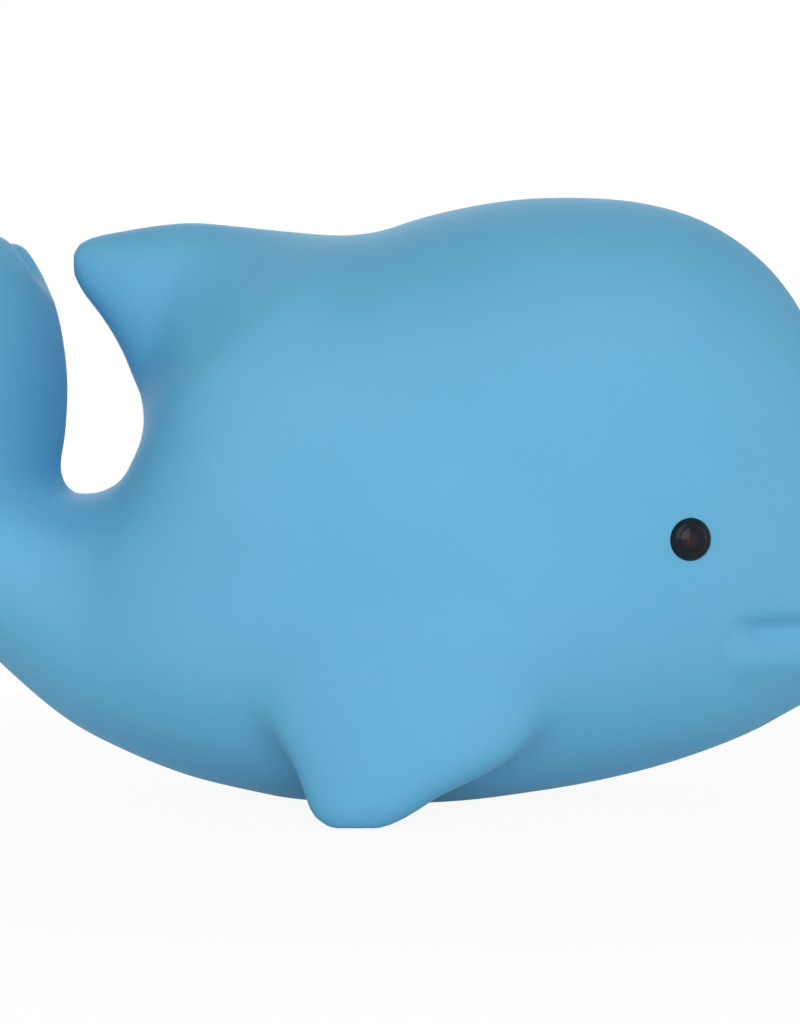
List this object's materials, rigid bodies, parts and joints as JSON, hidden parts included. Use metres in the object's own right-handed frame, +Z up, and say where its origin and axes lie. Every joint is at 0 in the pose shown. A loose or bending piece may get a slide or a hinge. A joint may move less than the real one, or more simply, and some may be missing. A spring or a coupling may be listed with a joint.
{
  "type": "squeaky bath toy",
  "caption": "Soft hollow rubber dolphin bath toy with a dorsal fin, upturned tail, flippers, glossy eyes and a reed squeaker in its belly; its flanks give way when squeezed.",
  "frame": {"origin": "middle of the object's box, on the flat of the belly that it stands on", "axes": "+X towards the beak, +Y towards the animal's left flank, +Z up"},
  "size_m": [0.1239, 0.0674, 0.0744],
  "materials": {
    "blue_rubber": "matte",
    "eye_black": "gloss",
    "squeaker_white": "satin",
    "reed_film": "satin"
  },
  "bodies": {
    "toy": {"body_shell": "blue_rubber", "right_eye": "eye_black", "left_eye": "eye_black", "squeaker_tube": "squeaker_white", "reed_seat": "squeaker_white", "reed_clamp": "squeaker_white"},
    "right_side": {"right_flank": "blue_rubber"},
    "left_side": {"left_flank": "blue_rubber"},
    "tongue": {"reed": "reed_film"}
  },
  "joints": [
    {"name": "right_squeeze", "type": "slide", "parent": "toy", "child": "right_side", "axis": [0, 1, 0], "range_m": [0, 0.006], "stiffness_N_per_m": 600},
    {"name": "left_squeeze", "type": "slide", "parent": "toy", "child": "left_side", "axis": [0, -1, 0], "range_m": [0, 0.006], "stiffness_N_per_m": 600},
    {"name": "reed_flutter", "type": "hinge", "parent": "toy", "child": "tongue", "pos_m": [-0.00198, 0, 0.00625], "axis": [0, 1, 0], "range_deg": [0, 6], "stiffness_Nm_per_rad": 0.006}
  ],
  "couplings": [
    {"joint": "left_squeeze", "follows": "right_squeeze", "ratio": 1}
  ]
}
